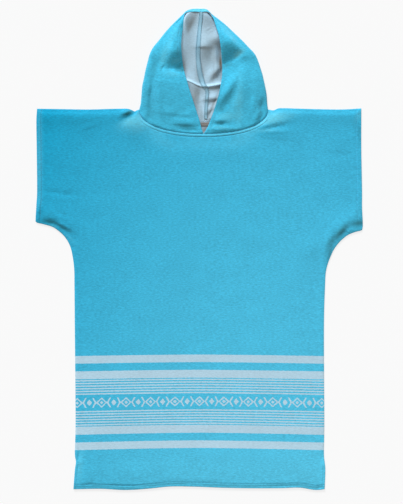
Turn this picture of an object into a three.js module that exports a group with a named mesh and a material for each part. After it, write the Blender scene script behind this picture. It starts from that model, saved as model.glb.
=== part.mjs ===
// Hooded bath poncho in towelling, laid flat on its back with the opening of the hood facing up.
// Millimetres. X runs to the sleeve on the right as seen from above, Y from the hem to the hood and Z up
// from the surface that it lies on. The origin is on that surface, in the middle of the garment's outline.
import * as THREE from "three";

// A table's rows as objects with the columns' names.
function table(names, rows) {
  const columns = names.split(" ");
  return rows.map((row) => Object.fromEntries(columns.map((name, i) => [name, row[i]])));
}

// Cloth and seams
const CLOTH = 2.6; // thickness of the towelling
const GAP = 0.3; // clearance between pieces at a seam
const EDGE_LEAN = 1.1; // how far a panel's outer edge is rounded off, up or down
const FRONT_ROW_STEP = 46; // most that two rows of the front panel lie apart
const BACK_ROW_STEP = 130;
const TOP_ROW_STEP = 1.3; // the rows at the shoulders lie this much wider apart than those at the hem

// Hems: distances from the edge that shape the turned hem and its stitch line
const HEM_STEPS = [0, 3.5, 9, 13];
const HEM_RISE = 0.9;
const STITCH_SINK = 0.5;

// Body: half outlines that differ, because the garment lies a little unevenly
const HEM_Y = -648;
const SHOULDER_Y = 379;
const NECK_X = 12; // middle of both necklines
const NECK_HALF = 174;
const NECK_STEPS = 12;
const FRONT_NECK = { depth: 66, power: 2.2 };
const BACK_NECK = { depth: 34, power: 2 };
const CUFFS_FROM = 82; // above this height the sides are cuffs
const SLITS_TO = -560; // below this height they are slits
const NECK_PULL = 180; // the rows this far below the shoulders begin to bend along the neckline
const HEM_PULL = 90; // the rows this far above the hem begin to bend along it

// The sides from the hem up: the slit, the side seam, the bend under the arm and the cuff
const SIDES = table("leftY leftX rightX rightY", [
  [-648, -340, 339, -648],
  [-596, -336, 341, -596],
  [-573, -333, 339, -573],
  [-550, -336, 337, -550],
  [-461, -334, 338, -461],
  [-218, -336, 337, -218],
  [-100, -337, 340, -100],
  [-50, -338, 344, -52],
  [-8, -344, 360, -8],
  [14, -351, 375, 15],
  [31, -361, 390, 30],
  [45, -374, 404, 40],
  [60, -395, 422, 47],
  [68, -421, 437, 51],
  [73, -440, 441, 56],
  [82, -442, 442, 72],
  [119, -440, 440, 116],
  [160, -438, 440, 160],
  [270, -439, 438, 270],
  [345, -440, 438, 345],
  [379, -438, 438, 381],
]);

// The shoulders, with the dip where each one meets the hood
const SHOULDERS = table("x y", [
  [-438, 379],
  [-330, 378],
  [-210, 380],
  [-186, 370.5],
  [-170, 376],
  [-162, 378],
  [186, 378],
  [202, 374],
  [217, 381],
  [275, 381],
  [320, 379],
  [415, 378],
  [438, 381],
]);
const SHOULDER_COLUMNS = {
  left: [-438, -434.5, -429, -425, -390, -340, -290, -245, -210, -186, -170],
  right: [202, 217, 255, 300, 345, 390, 425, 429, 434.5, 438],
};

// The lower edge, which waves a little
const HEM_LINE = table("x y", [
  [-340, -648],
  [-261, -647],
  [-200, -650],
  [-132, -646],
  [-83, -641],
  [-18, -641],
  [63, -644],
  [225, -645],
  [273, -644],
  [320, -650],
  [339, -648],
]);

// Soft folds of the front panel: middle, turn from the X axis in degrees, half length, half width, height
const BODY_FOLDS = table("x y turn length width height", [
  [-186, 345, 38, 30, 16, 3],
  [196, 340, 20, 36, 14, 2.6],
  [205, 306, -4, 60, 16, 1.6],
  [-367, 160, -13, 34, 16, 1.8],
  [-372, 78, -14, 50, 16, 2.8],
  [372, 64, 34, 46, 18, 2.8],
  [-300, 30, -62, 80, 34, 1.8],
  [310, 10, 58, 80, 34, 1.8],
  [-100, -90, 74, 240, 70, 1.6],
  [150, -330, 82, 210, 60, 1.4],
]);
const PUFF = 1.6; // how far the front panel stands off the back one away from the seams
const PUFF_REACH = 60;

// Hood: both halves from the neck to the forehead, one row for each section. A section runs on the surface
// from the centre seam to the fold that makes the outline, turns over it and comes back to the opening.
const HOOD_PLAN = table(
  "seamX seamY leftFoldX leftFoldY leftEdgeX leftEdgeY rightFoldX rightFoldY rightEdgeX rightEdgeY",
  [
    [12, 344, -162, 378, 12, 312, 186, 378, 12, 312],
    [17, 352, -160, 387, 8, 326, 185, 386, 17, 326],
    [18, 363, -158, 396, 3, 343, 184, 396, 26, 342],
    [19, 385, -156, 417, -7, 372, 182, 419, 39, 373],
    [21, 412, -154, 440, -19, 410, 177, 445, 51, 412],
    [21, 430, -150, 458, -28, 437, 173, 462, 57, 440],
    [14, 440, -148, 468, -31, 449, 171, 471, 59, 451],
    [8, 452, -145, 483, -36, 464, 167, 484, 61, 465],
    [2, 476, -138, 511, -42, 489, 158, 511, 62, 490],
    [-1, 496, -133, 528, -45, 508, 149, 528, 61, 509],
    [-3, 520, -124, 545, -47, 531, 132, 546, 59, 532],
    [-3, 543, -110, 562, -48, 553, 116, 563, 56, 554],
    [-1, 569, -92, 585, -46, 579, 93, 585, 51, 580],
    [1, 592, -74, 605, -43, 600, 71, 606, 44, 602],
    [3, 610, -56, 623, -41, 618, 50, 623, 38, 620],
    [4, 621, -45, 634, -38, 629, 37, 633, 32, 630],
    [5, 628, -36, 643, -32, 637, 27, 643, 27, 637],
    [5, 631, -25, 648, -22, 640, 21, 648, 21, 640],
    [5, 633, -10, 650, -9, 640, 13, 650, 13, 640],
    [5, 634, 5, 650, 5, 640, 5, 650, 5, 640],
  ],
);
// For the same sections: radius is the outer fold's, crest the swell of the upper layer, lift the height of
// the opening's edge, bow how much the section still follows the necklines, and steps how many rings there
// are to the next row.
const HOOD_FORM = table("radius crest lift bow steps", [
  [1.45, 0, 2.9, 1, 1],
  [3, 2, 5.5, 0.88, 1],
  [5, 4, 9, 0.7, 2],
  [7, 6, 13, 0.4, 2],
  [8, 6, 16, 0.15, 1],
  [8, 5, 17, 0.05, 1],
  [8, 4, 16.5, 0, 1],
  [8, 3, 15, 0, 1],
  [8, 1, 13, 0, 1],
  [9, 2, 16, 0, 2],
  [9, 5, 23, 0, 2],
  [8.5, 5, 25, 0, 2],
  [7.5, 4, 22, 0, 2],
  [6, 2.5, 17, 0, 1],
  [4.6, 1, 12, 0, 1],
  [3.6, 0, 8.5, 0, 1],
  [3.2, 0, 7, 0, 1],
  [3.2, 0, 6.6, 0, 1],
  [3.2, 0, 6.6, 0, 1],
  [3.2, 0, 6.6, 0, 1],
]);
const FOLD_TURN = [-60, -30, 0, 30, 60]; // degrees round the hood's outer fold
const LOWER_STEPS = 7;
const UPPER_STEPS = 10;
const CLOSER_AT_FOLD = 1.45; // power that draws the upper layer's points towards the fold
const OPENING_HEM = 11;

// The slack fold across the back of the hood, which hangs towards the neck
const SLACK_LINE = table("x y", [
  [-90, 474],
  [-35, 459],
  [14, 441],
  [56, 446],
  [110, 456],
]);
const SLACK = { height: 7, reach: 30, drop: 12, from: -90, to: 110, fade: 45 };

// The overlocked seam allowance inside the hood
const ALLOWANCE = { half: 6, thickness: 1.6, from: 1, to: 22 };

// Value of a table's column at a place between its rows, straight or smooth.
function straight(table, key, at, value) {
  let row = 1;
  while (row < table.length - 1 && table[row][key] < at) row += 1;
  const a = table[row - 1];
  const b = table[row];
  const share = THREE.MathUtils.clamp((at - a[key]) / (b[key] - a[key]), 0, 1);
  return THREE.MathUtils.lerp(a[value], b[value], share);
}

function smoothBetween(values, at) {
  const row = Math.min(Math.floor(at), values.length - 2); // the last row ends the last stretch
  const t = at - row;
  const [p, q] = [values[row], values[row + 1]];
  const before = row > 0 ? values[row - 1] : 2 * p - q;
  const after = row + 2 < values.length ? values[row + 2] : 2 * q - p;
  const square = 2 * before - 5 * p + 4 * q - after;
  const cube = 3 * p - before - 3 * q + after;
  return p + 0.5 * (t * (q - before) + t * t * square + t * t * t * cube);
}

// The height that a table of folds gives to a place.
function foldHeight(folds, x, y) {
  return folds.reduce((sum, fold) => {
    const turn = THREE.MathUtils.degToRad(fold.turn);
    const along = (x - fold.x) * Math.cos(turn) + (y - fold.y) * Math.sin(turn);
    const across = (y - fold.y) * Math.cos(turn) - (x - fold.x) * Math.sin(turn);
    const share = (along / fold.length) ** 2 + (across / fold.width) ** 2;
    return sum + fold.height * Math.exp(-share);
  }, 0);
}

// The swell of a turned hem and the groove of its stitch line, at a distance from the edge.
function hemRelief(distance) {
  const [, first, last, stitch] = HEM_STEPS;
  if (distance >= first && distance <= last) return HEM_RISE;
  return distance > last && distance <= stitch ? -STITCH_SINK : 0;
}

// One closed wall between two sheets of points with the same rows and columns. The cells of the columns
// that turned names are split along their other diagonal.
function wallBetween(outer, inner, turned = () => false) {
  const rows = outer.length;
  const columns = outer[0].length;
  const points = [...outer.flat(), ...inner.flat()];
  const out = (row, column) => row * columns + column;
  const inn = (row, column) => rows * columns + out(row, column);
  const faces = [];
  const quad = (a, b, c, d) => faces.push([a, b, c], [a, c, d]);
  for (let row = 0; row < rows - 1; row += 1) {
    for (let column = 0; column < columns - 1; column += 1) {
      const corners = [[row, column], [row, column + 1], [row + 1, column + 1], [row + 1, column]];
      if (turned(column)) corners.push(corners.shift());
      const [a, b, c, d] = corners;
      quad(out(...a), out(...b), out(...c), out(...d));
      faces.push([inn(...a), inn(...c), inn(...b)], [inn(...a), inn(...d), inn(...c)]);
    }
  }
  for (let row = 0; row < rows - 1; row += 1) {
    const end = columns - 1;
    quad(out(row, 0), out(row + 1, 0), inn(row + 1, 0), inn(row, 0));
    quad(out(row + 1, end), out(row, end), inn(row, end), inn(row + 1, end));
  }
  for (let column = 0; column < columns - 1; column += 1) {
    const end = rows - 1;
    quad(out(0, column + 1), out(0, column), inn(0, column), inn(0, column + 1));
    quad(out(end, column), out(end, column + 1), inn(end, column + 1), inn(end, column));
  }
  const volume = faces.reduce((sum, [a, b, c]) => {
    const normal = new THREE.Vector3().crossVectors(points[b], points[c]);
    return sum + points[a].dot(normal);
  }, 0);
  const index = faces.flatMap((face) => (volume < 0 ? face.toReversed() : face));
  const geometry = new THREE.BufferGeometry().setFromPoints(points);
  geometry.setIndex(index);
  geometry.computeVertexNormals();
  return geometry;
}

// Necklines
const neckColumns = Array.from({ length: NECK_STEPS + 1 }, (_, step) => {
  const c = Math.cos((Math.PI * step) / NECK_STEPS);
  return NECK_X - NECK_HALF * Math.sign(c) * Math.abs(c) ** (2 / FRONT_NECK.power);
});

function neckY(x, { depth, power }) {
  const share = Math.min(1, Math.abs(x - NECK_X) / NECK_HALF);
  return straight(SHOULDERS, "x", NECK_X - NECK_HALF, "y") - depth * (1 - share ** power) ** (1 / power);
}

const neckLine = (neck) => neckColumns.map((x) => new THREE.Vector2(x, neckY(x, neck)));

// Panels
const columnXs = [...SHOULDER_COLUMNS.left, ...neckColumns, ...SHOULDER_COLUMNS.right];
const [topLeft, topRight] = [columnXs[0], columnXs.at(-1)];

function rowHeights(rowStep) {
  const [, ...steps] = HEM_STEPS;
  const topSteps = steps.map((step) => SHOULDER_Y - TOP_ROW_STEP * step).reverse();
  const bends = SIDES.map((row) => row.leftY).filter((y) => y > HEM_Y && y < topSteps[0] - 8);
  const fixed = [...HEM_STEPS.map((step) => HEM_Y + step), ...bends, ...topSteps, SHOULDER_Y];
  return fixed.flatMap((y, i) => {
    const next = fixed[i + 1] ?? y;
    const parts = Math.max(1, Math.ceil((next - y) / rowStep));
    return Array.from({ length: parts }, (_, part) => y + ((next - y) * part) / parts);
  });
}

// The place of each row and column of a panel on the surface, with its distances from the edges.
function panelPlan(neck, rowStep) {
  const { lerp, clamp } = THREE.MathUtils;
  const topAt = (x) => (neckColumns.includes(x) ? neckY(x, neck) : straight(SHOULDERS, "x", x, "y"));
  const tops = columnXs.map(topAt);
  return rowHeights(rowStep).map((height) => {
    const sideValue = (key) => straight(SIDES, "leftY", height, key);
    const [leftX, rightX, rightY] = ["leftX", "rightX", "rightY"].map(sideValue);
    const topShare = clamp((height - SHOULDER_Y + NECK_PULL) / NECK_PULL, 0, 1);
    const hemShare = clamp((HEM_Y + HEM_PULL - height) / HEM_PULL, 0, 1);
    return columnXs.map((topX, column) => {
      const share = (topX - topLeft) / (topRight - topLeft);
      const x = lerp(leftX, rightX, share);
      const flatTop = lerp(SHOULDER_Y, SIDES.at(-1).rightY, share);
      const hemPull = hemShare * (straight(HEM_LINE, "x", x, "y") - HEM_Y);
      const y = lerp(height, rightY, share) + topShare * (tops[column] - flatTop) + hemPull;
      const side = Math.min(x - leftX, rightX - x);
      const top = (SHOULDER_Y - height) / TOP_ROW_STEP;
      return { x, y, side, hem: height - HEM_Y, top, height };
    });
  });
}

const isEdge = (plan, row, column) =>
  row === 0 || column === 0 || row === plan.length - 1 || column === plan[0].length - 1;

// Sleeve hems, slits, lower hem and the stitched band round the neck, as raised edges.
function edgeRelief(place) {
  const cuffOrSlit = place.height > CUFFS_FROM || place.height < SLITS_TO;
  const side = cuffOrSlit ? hemRelief(place.side) : 0;
  return Math.max(side, 0) || hemRelief(place.hem) || hemRelief(place.top) || side;
}

function backPanel() {
  const plan = panelPlan(BACK_NECK, BACK_ROW_STEP);
  const outer = plan.map((row) => row.map(({ x, y }) => new THREE.Vector3(x, y, CLOTH)));
  const inner = plan.map((row, i) =>
    row.map(({ x, y }, j) => new THREE.Vector3(x, y, isEdge(plan, i, j) ? EDGE_LEAN : 0)),
  );
  return wallBetween(outer, inner);
}

function frontPanel() {
  const plan = panelPlan(FRONT_NECK, FRONT_ROW_STEP);
  const lift = ({ x, y, side, hem, top }) => {
    const reach = Math.min(side, hem, top) / PUFF_REACH;
    const open = THREE.MathUtils.smoothstep(reach, 0, 1);
    const nearEdge = THREE.MathUtils.smoothstep(reach, 0, 0.25);
    return PUFF * open + nearEdge * foldHeight(BODY_FOLDS, x, y);
  };
  const underside = plan.map((row) =>
    row.map((place) => new THREE.Vector3(place.x, place.y, CLOTH + GAP + lift(place))),
  );
  const outer = underside.map((row, i) =>
    row.map((point, j) => {
      const edge = isEdge(plan, i, j);
      const thickness = edge ? CLOTH - EDGE_LEAN : CLOTH + edgeRelief(plan[i][j]);
      return point.clone().setZ(point.z + thickness);
    }),
  );
  return wallBetween(outer, underside);
}

// Hood
function alongLine(line, share) {
  const lengths = line.slice(1).map((point, i) => point.distanceTo(line[i]));
  let left = share * lengths.reduce((a, b) => a + b, 0);
  let piece = 0;
  while (piece < lengths.length - 1 && left > lengths[piece]) {
    left -= lengths[piece];
    piece += 1;
  }
  return line[piece].clone().lerp(line[piece + 1], Math.min(1, left / lengths[piece]));
}

function slackHeight(x, y) {
  const { height, reach, drop, from, to, fade } = SLACK;
  const above = y - straight(SLACK_LINE, "x", x, "y");
  const profile = above >= 0 ? Math.exp(-((above / reach) ** 2)) : Math.max(0, 1 + above / drop);
  const { smoothstep } = THREE.MathUtils;
  return height * profile * smoothstep(x, from, from + fade) * (1 - smoothstep(x, to - fade, to));
}

// The rings of the hood's table, with its columns as numbers, for the half on one side.
function hoodRings(side) {
  const ringPlaces = ({ steps }, row) => Array.from({ length: steps }, (_, step) => row + step / steps);
  return HOOD_FORM.flatMap(ringPlaces).map((at) => {
    const value = (rows, key) => smoothBetween(rows.map((row) => row[key]), at);
    const point = (key) => new THREE.Vector2(value(HOOD_PLAN, key + "X"), value(HOOD_PLAN, key + "Y"));
    const form = ["radius", "crest", "lift", "bow"].map((key) => [key, value(HOOD_FORM, key)]);
    const plan = { seam: point("seam"), fold: point(side + "Fold"), edge: point(side + "Edge") };
    return { ...plan, ...Object.fromEntries(form) };
  });
}

// One half of the hood: its outer and inner sheet, ring by ring from the neck to the forehead.
function hoodSheets(side) {
  const away = side === "left" ? -1 : 1;
  const half = (neck) => {
    const line = neckLine(neck).filter((point) => away * (point.x - NECK_X) >= -0.001);
    return side === "left" ? line : line.reverse();
  };
  const bowed = (line, from, to, bow, share) => {
    const straightPoint = line[0].clone().lerp(line.at(-1), share);
    const bend = alongLine(line, share).sub(straightPoint).multiplyScalar(bow);
    return from.clone().lerp(to, share).add(bend);
  };
  const [frontLine, backLine] = [half(FRONT_NECK), half(BACK_NECK)];
  return hoodRings(side).map((ring) => {
    const fromMiddle = new THREE.Vector2((away * GAP) / 2, GAP * ring.bow);
    const seam = ring.seam.clone().add(fromMiddle);
    const edge = ring.edge.clone().add(fromMiddle);
    const foldShift = THREE.MathUtils.lerp(away * GAP * 0.5, -away * GAP, ring.bow);
    const fold = ring.fold.clone().add(new THREE.Vector2(foldShift, GAP * ring.bow));
    const middle = seam.clone().add(edge).multiplyScalar(0.5);
    const inward = middle.sub(fold).normalize();
    const start = CLOTH / 2 + ring.radius;
    const points = [];
    const put = (x, y, z, normal) => points.push({ centre: new THREE.Vector3(x, y, z), normal });
    const up = new THREE.Vector3(0, 0, 1);

    const lowerLength = seam.distanceTo(fold);
    const lowerStart = Math.min(start / lowerLength, 0.5);
    const allowance = 1 - Math.min(0.35, ALLOWANCE.half / lowerLength);
    for (let step = 0; step <= LOWER_STEPS; step += 1) {
      const spread = (1 - (step - 1) / (LOWER_STEPS - 1)) ** CLOSER_AT_FOLD;
      const even = THREE.MathUtils.lerp(lowerStart, allowance, spread);
      const share = step === 0 ? 1 : even;
      const { x, y } = bowed(backLine, fold, seam, ring.bow, share);
      put(x, y, CLOTH / 2 + slackHeight(x, y), up.clone().negate());
    }
    FOLD_TURN.forEach((degrees) => {
      const angle = THREE.MathUtils.degToRad(degrees);
      const reach = CLOTH / 2 + ring.radius * (1 - Math.cos(angle));
      const outward = inward.clone().multiplyScalar(-Math.cos(angle));
      const normal = new THREE.Vector3(outward.x, outward.y, Math.sin(angle));
      const { x, y } = fold.clone().addScaledVector(inward, reach);
      put(x, y, start + ring.radius * Math.sin(angle), normal);
    });
    const upperLength = edge.distanceTo(fold);
    const upperStart = Math.min(start / upperLength, 0.6);
    const hem = Math.max(0.72, 1 - OPENING_HEM / upperLength);
    for (let step = 0; step <= UPPER_STEPS; step += 1) {
      const part = step === UPPER_STEPS ? 1 : hem * (step / (UPPER_STEPS - 1)) ** CLOSER_AT_FOLD;
      const share = THREE.MathUtils.lerp(upperStart, 1, part);
      const { x, y } = bowed(frontLine, fold, edge, ring.bow, share);
      const turnedIn = THREE.MathUtils.smoothstep(part, 0, 1);
      const rise = THREE.MathUtils.lerp(2 * ring.radius, ring.lift, turnedIn);
      put(x, y, CLOTH / 2 + rise + ring.crest * Math.sin(Math.PI * part), up);
    }
    const sheet = (offset) =>
      points.map(({ centre, normal }) => centre.clone().addScaledVector(normal, offset));
    return { outer: sheet(CLOTH / 2), inner: sheet(-CLOTH / 2) };
  });
}

const hoodHalf = (sheets) =>
  wallBetween(
    sheets.map((ring) => ring.outer),
    sheets.map((ring) => ring.inner),
  );

// The seam allowance lies on the inner sheets of both halves, so it is made from their points.
function hoodAllowance(left, right) {
  const rings = left.slice(ALLOWANCE.from, ALLOWANCE.to).map((ring, i) => {
    const other = right[i + ALLOWANCE.from];
    const middle = ring.inner[0].clone().lerp(other.inner[0], 0.5);
    return [ring.inner[1], middle, other.inner[1]];
  });
  const moved = (height) => rings.map((row) => row.map((point) => point.clone().setZ(point.z + height)));
  return wallBetween(moved(GAP + ALLOWANCE.thickness), moved(GAP), (column) => column === 0);
}

// Materials
const turquoise = { color: 0x4bb9db, roughness: 0.94, metalness: 0 };
const overlock = { color: 0x82b9d2, roughness: 0.9, metalness: 0 };

const poncho = new THREE.Group();
function addPiece(name, geometry, finish) {
  const mesh = new THREE.Mesh(geometry, new THREE.MeshStandardMaterial(finish));
  mesh.name = name;
  poncho.add(mesh);
}

const leftHood = hoodSheets("left");
const rightHood = hoodSheets("right");
addPiece("back_panel", backPanel(), turquoise);
addPiece("front_panel", frontPanel(), turquoise);
addPiece("hood_left", hoodHalf(leftHood), turquoise);
addPiece("hood_right", hoodHalf(rightHood), turquoise);
addPiece("hood_seam_allowance", hoodAllowance(leftHood, rightHood), overlock);

export default poncho;
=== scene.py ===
# Looks of a hooded bath poncho in turquoise towelling, laid flat on its back and seen from straight above.
# Sizes are in millimetres and become metres where a mesh is made. X runs to the sleeve on the right, Y from
# the hem to the hood and Z up from the surface that the garment lies on. In tables of folds and of painted
# light and shade, turn is in degrees from the X axis, length a half length, and width and far are the half
# widths to the left and to the right of it.
import math

import bpy
import numpy as np
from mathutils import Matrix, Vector


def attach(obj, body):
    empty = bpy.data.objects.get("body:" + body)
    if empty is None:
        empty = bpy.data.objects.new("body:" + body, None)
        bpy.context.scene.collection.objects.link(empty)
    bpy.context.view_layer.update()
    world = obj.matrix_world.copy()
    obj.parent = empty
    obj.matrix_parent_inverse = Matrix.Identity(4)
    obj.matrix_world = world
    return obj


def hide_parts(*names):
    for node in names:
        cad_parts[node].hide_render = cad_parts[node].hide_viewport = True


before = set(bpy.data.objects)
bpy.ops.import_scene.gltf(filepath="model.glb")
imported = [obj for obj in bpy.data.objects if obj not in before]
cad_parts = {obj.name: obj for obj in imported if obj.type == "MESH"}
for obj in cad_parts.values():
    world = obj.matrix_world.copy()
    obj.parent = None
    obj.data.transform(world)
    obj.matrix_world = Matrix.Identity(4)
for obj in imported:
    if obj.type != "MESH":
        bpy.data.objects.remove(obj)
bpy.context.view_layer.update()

MM = 0.001


def table(text):
    """The columns of a table as arrays, by the names in its first row."""
    names, *rows = text.strip().splitlines()
    return dict(zip(names.split(), np.array([row.split() for row in rows], float).T))


# Cloth and seams
CLOTH = 2.6  # thickness of the towelling
GAP = 0.3  # clearance between pieces that lie on each other
SEAM_GAP = 0.02  # and of each half of the hood from the middle of their seam
GRID = 5.4  # how far apart the points of a panel lie
EDGE_STEPS = (0, 0.35, 1, 2, 3.4, 5.2, 7, 8.6, 10, 11.2, 12.2, 13.2, 14.4, 17)  # closer ones at its edges

# Body outline, which the solids have with plainer shoulders
HEM_Y = -648
SHOULDER_Y = 379
NECK_X = 12
NECK_HALF = 174
NECK_TOP = 378
FRONT_NECK = (66, 2.2)  # depth and power of the curve
BACK_NECK = (34, 2)
NECK_POINTS = 76
NECK_PULL = 180
HEM_PULL = 90
CUFFS_FROM = 82
SLITS_TO = -573
SIDES = table("""left_y left_x right_x right_y
-648 -340 339 -648
-596 -336 341 -596
-573 -333 339 -573
-550 -336 337 -550
-461 -334 338 -461
-218 -336 337 -218
-100 -337 340 -100
-50 -338 344 -52
-8 -344 360 -8
14 -351 375 15
31 -361 390 30
45 -374 404 40
60 -395 422 47
68 -421 437 51
73 -440 441 56
82 -442 442 72
119 -440 440 116
160 -438 440 160
270 -439 438 270
345 -440 438 345
379 -438 438 381
""")
SHOULDERS = table("""x y
-438 380
-370 379
-294 378
-240 379.5
-213 380
-188 378.8
-180 375.5
-174 373
-168 376
-162 378
186 378
202 376
213 381
226 381.5
260 380.6
322 378.8
400 378.5
438 381
""")
HEM_LINE = table("""x y
-340 -648
-261 -647
-200 -650
-132 -646
-83 -641
-18 -641
63 -644
225 -645
273 -644
320 -650
339 -648
""")

# Hems: how wide each one is, how far it stands up and how deep its stitch line sinks
HEMS = {
    "cuff": dict(width=13, rise=0.9, sink=0.9),
    "slit": dict(width=7, rise=0.5, sink=0.7),
    "hem": dict(width=12, rise=0.1, sink=1.0),
}
NECK_BAND = dict(width=8, rise=0.9, sink=1.0)
GROOVE = dict(before=1.5, after=1, half=1.1)  # around a hem's stitch line
# Sewn edges: over what distance they round off, and the least share of the thickness there
SEAM_EDGE = dict(reach=9, least=0.12)
NECK_EDGE = dict(reach=3.2, least=0.25)
HOOD_NECK_EDGE = dict(reach=2.6, least=0.35)
FREE_ROLL = 1.7  # over what distance free edges round off
THINNEST = 0.05
# How the front rises inwards, and at what shares of that way its rolls, folds and waves are whole
PUFF = dict(height=1.6, reach=60, rolls=0.3, folds=0.14, waves=0.4)
UNEVEN = dict(height=0.22, size=95, seed=3)
PUCKER_REACH = 4  # how far from the edge the small creases of the hems are whole

# The roll along the shoulder seams: how far from them, its widths on both sides and its height
SHOULDER_ROLL = dict(at=13, towards=9, away=26, height=3.2)
# Folds of the front panel
FRONT_FOLDS = table("""x y turn length width far height
-192 368 27 20 14 5 7.5
-178 338 22 32 26 40 6
-296 331 19 26 5 2.5 1.6
-310 356 0 60 14 20 1.6
200 336 14 36 30 3 5
206 318 -2 40 10 6 4
210 303 -3 44 8 4 2
-379 153 -8 36 5 8 -2.6
-374 86 -26 14 7 3 2.4
-404 84 -4 22 30 5.5 4.5
-366 66 -28 28 26 5.5 5
-434 112 0 12 24 20 4
388 55 51 30 24 7 5.5
431 84 8 16 24 12 5
352 10 82 32 16 5 6
405 50 110 8 3 3 1.6
414 52 110 8 3 3 1.4
383 258 -3 56 4 4 -0.9
396 247 -5 50 4 4 -0.8
-300 30 -62 80 30 30 2.0
310 10 58 80 30 30 2.0
-100 -90 74 240 70 70 1.6
150 -330 82 210 60 60 1.4
-60 150 12 120 34 34 0.9
90 60 -20 130 40 40 0.9
-180 -420 8 150 50 50 0.9
120 -560 -5 160 26 26 0.8
""")
# Painted shade on the front panel, and painted highlights where the height is below 0
FRONT_PAINTED_LIGHT = table("""x y turn length width far height
-189 368 27 15 6 6 1.3
-404 74 -6 20 6 5 1
-370 59 -27 22 5 5 1.1
-412 92 0 18 14 10 0.25
-205 363 27 13 5 5 0.55
-190 332 22 28 16 16 -0.2
-188 348 24 28 9 12 -0.75
-160 330 40 24 14 14 -0.3
195 356 26 30 11 9 -0.7
186 322 0 30 4 4 -0.5
175 330 14 15 3 3 0.7
175 309 0 22 3 3 0.35
430 312 90 26 5 5 0.3
431 362 60 18 8 8 -0.35
352 22 60 15 8 6 0.45
-431 100 80 12 6 6 0.35
-366 97 -18 22 4 4 0.4
-395 65 -12 30 3 5 -0.6
-350 33 -45 20 3 5 -0.25
222 352 20 40 16 10 -0.55
-120 316 -38 60 16 24 -0.3
5 287 0 90 16 20 -0.2
130 312 30 60 16 24 -0.3
381 47 50 28 7 6 1.1
428 69 10 18 7 6 1
427 100 80 18 7 8 0.4
414 42 32 18 3 4 -0.25
346 2 76 22 5 5 0.5
60 -600 0 420 70 70 -0.1
300 -596 0 70 60 60 -0.08
434 322 90 9 4 4 0.35
434 296 90 6 3 3 0.3
-168 346 24 28 14 18 -0.6
196 348 18 34 14 7 -0.4
-432 246 90 160 8 8 -0.5
-322 -586 84 46 8 8 -0.35
""")
# Along the neck band a painted highlight, and a little above the lower hem a line of painted shade
COLLAR_PAINTED_HIGHLIGHT = dict(height=-0.55, reach=9)
HEM_PAINTED_SHADE = dict(height=0.6, at=8.5, reach=5)
# Small creases and puckers of the hems and slits
HEM_FOLDS = table("""x y turn length width height
-298 -634 6 12 3 -1.6
-200 -638 -1 70 2.6 -1.4
-175 -643 0 74 3 0.8
-20 -631 2 88 2.6 -0.9
-16 -625 1 84 2.4 -0.6
130 -626 -2 26 2.4 -1.3
230 -638 1 42 2.6 -1.4
325 -643 20 9 4 -1.6
-326 -558 80 12 3 -1.8
-319 -575 10 10 5 1.4
332 -562 96 9 3 -1.8
334 -577 86 12 4 1.3
332 -612 90 30 2.4 0.8
""")
# Troughs in the underside of the back panel, which lies flat between them
BACK_FOLDS = table("""x y turn length width height
-190 330 36 46 7 0.9
205 322 -30 50 7 0.9
-362 62 -20 56 8 1.1
366 58 30 52 8 1.1
-290 10 -60 90 10 0.8
300 20 56 80 10 0.8
-70 -160 80 200 12 0.7
130 -300 74 180 12 0.7
20 180 10 150 11 0.8
-150 -540 6 130 9 0.7
210 -600 -8 70 7 0.7
""")
# The back panel: the depth of its stitch lines, its roll along sewn edges and how far from free ones that is
# whole, the wall left at its edges, the least wall, and where its troughs start and are whole
BACK = dict(groove=0.5, roll=5, sewn_from=6, edge=0.3, thinnest=0.2, troughs=4, troughs_whole=18)
# Painted shade at the foot of the opening, on the back panel
BACK_PAINTED_SHADE = table("""x y turn length width far height
12 322 80 8 6 6 1.5
22 334 66 9 5 5 1
""")

# Hood: for each section the centre seam, the fold that makes the outline and the cloth's end at the opening
HOOD_PLAN = table("""
seam_x seam_y left_fold_x left_fold_y left_end_x left_end_y right_fold_x right_fold_y right_end_x right_end_y
12 344 -162 378 12 312 186 378 12 312
17 352 -160 387 6.5 326 185 386 20.5 326
18 363 -158 396 2.5 343 184 396 28 343
19 385 -156 417 -7 372 182 419 39 373
21 412 -154 440 -19 410 177 445 51 412
21 430 -150 458 -28 437 173 462 57 440
14 440 -148 468 -31 449 171 471 59 451
8 452 -145 483 -36 464 167 484 61 465
2 476 -138 511 -42 489 158 511 62 490
-1 496 -133 528 -45 508 149 528 61 509
-3 520 -124 545 -47 531 132 546 59 532
-3 543 -110 562 -48 553 116 563 56 554
-1 569 -92 585 -46 579 93 585 51 580
1 592 -74 605 -43 600 71 606 44 602
3 610 -56 623 -42 619 50 623 39 620
4 621 -45 634 -40 630 37 633 34 629
5 628 -36 643 -37 637 27 643 30 637
5 631 -25 648 -27 640.5 21 648 22 640.5
5 633 -10 650 -11 640.5 13 650 13 640.5
5 634 5 650 5 640 5 650 5 640
""")
# And the fold's radius, the flap's crest and lift, how much it bows like the neckline, and the half width of
# the seam allowance
HOOD_FORM = table("""radius crest lift bow strip
1.45 0 2.9 1 4
2.4 1 4.2 0.88 4
3.6 2 5.6 0.7 4.5
5.6 3.5 8.8 0.4 4.5
7.2 5 12.6 0.15 4.5
8 5 14.6 0.05 5
8 4 15.2 0 6
8 3 14.6 0 7
8 1 13 0 6.5
9 2 16 0 6.5
9 5 23 0 6
8.5 5 25 0 6
7.5 4 22 0 5.5
6 2.5 17 0 5
4.6 1 13 0 5
3.2 0 10.5 0 5
2.6 0 9.5 0 5
2.6 0 9.2 0 5
2.6 0 9.2 0 5
2.6 0 9.2 0 5
""")
LAST_ROW = len(HOOD_FORM["bow"]) - 1
RIM_Y = 645  # inside of the rim
HOOD_RINGS = 150
LOWER_POINTS = 84
FOLD_POINTS = 13
FOLD_TURN = 75  # degrees on each side of the fold's outermost point
UPPER_POINTS = 64
OPENING_HEM = dict(width=9, rise=0.5, sink=0.9)
LEAST_RADIUS = 1.45
FOLD_SHARE = dict(lower=0.5, upper=0.6)  # most of the way to the seam and to the opening that the fold takes
CLOSER = 1.15  # power that brings points together towards the fold
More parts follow.
